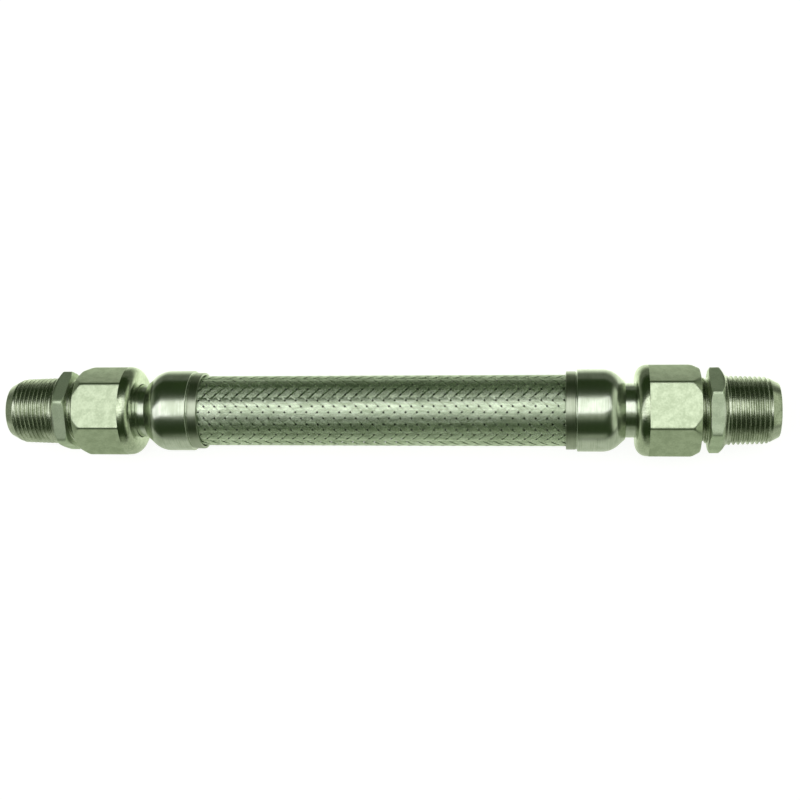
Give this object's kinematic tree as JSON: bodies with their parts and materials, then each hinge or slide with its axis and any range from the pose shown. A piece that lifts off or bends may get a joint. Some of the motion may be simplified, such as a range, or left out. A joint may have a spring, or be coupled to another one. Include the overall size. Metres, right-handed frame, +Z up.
{
  "type": "corrugated stainless steel hose",
  "caption": "Short braided stainless steel hose with a swivel union nut and a threaded hexagon adapter at each end.",
  "frame": {"origin": "on the hose's axis, halfway between its two threaded ends", "axes": "+X along the hose towards the right end, +Z up, square to the union nuts' upper flats"},
  "size_m": [0.4, 0.047, 0.0466],
  "materials": {
    "tube_steel": "bright rolled stainless tube",
    "braid_wire": "bright drawn stainless wire",
    "polished_steel": "polished stainless",
    "cast_steel": "matt blasted stainless casting",
    "turned_steel": "turned stainless with cut threads",
    "gasket_fibre": "matt fibre sheet"
  },
  "bodies": {
    "hose": {"corrugated_tube": "tube_steel", "wire_braid": "braid_wire", "left_braid_ring": "polished_steel", "right_braid_ring": "polished_steel", "left_union_tail": "polished_steel", "right_union_tail": "polished_steel", "left_gasket": "gasket_fibre", "right_gasket": "gasket_fibre"},
    "left_nut": {"left_union_nut": "cast_steel"},
    "left_adapter": {"left_union_adapter": "turned_steel"},
    "right_nut": {"right_union_nut": "cast_steel"},
    "right_adapter": {"right_union_adapter": "turned_steel"}
  },
  "joints": [
    {"name": "left_nut_turn", "type": "hinge", "parent": "hose", "child": "left_nut", "pos_m": [-0.145, 0, 0], "axis": [-1, 0, 0], "range_deg": [0, 1440]},
    {"name": "left_adapter_slide", "type": "slide", "parent": "hose", "child": "left_adapter", "axis": [-1, 0, 0], "range_m": [0, 0.0093]},
    {"name": "right_nut_turn", "type": "hinge", "parent": "hose", "child": "right_nut", "pos_m": [0.145, 0, 0], "axis": [1, 0, 0], "range_deg": [0, 1440]},
    {"name": "right_adapter_slide", "type": "slide", "parent": "hose", "child": "right_adapter", "axis": [1, 0, 0], "range_m": [0, 0.0093]}
  ],
  "couplings": [
    {"joint": "left_adapter_slide", "follows": "left_nut_turn", "m_per_rad": 0.00036749},
    {"joint": "right_adapter_slide", "follows": "right_nut_turn", "m_per_rad": 0.00036749}
  ]
}
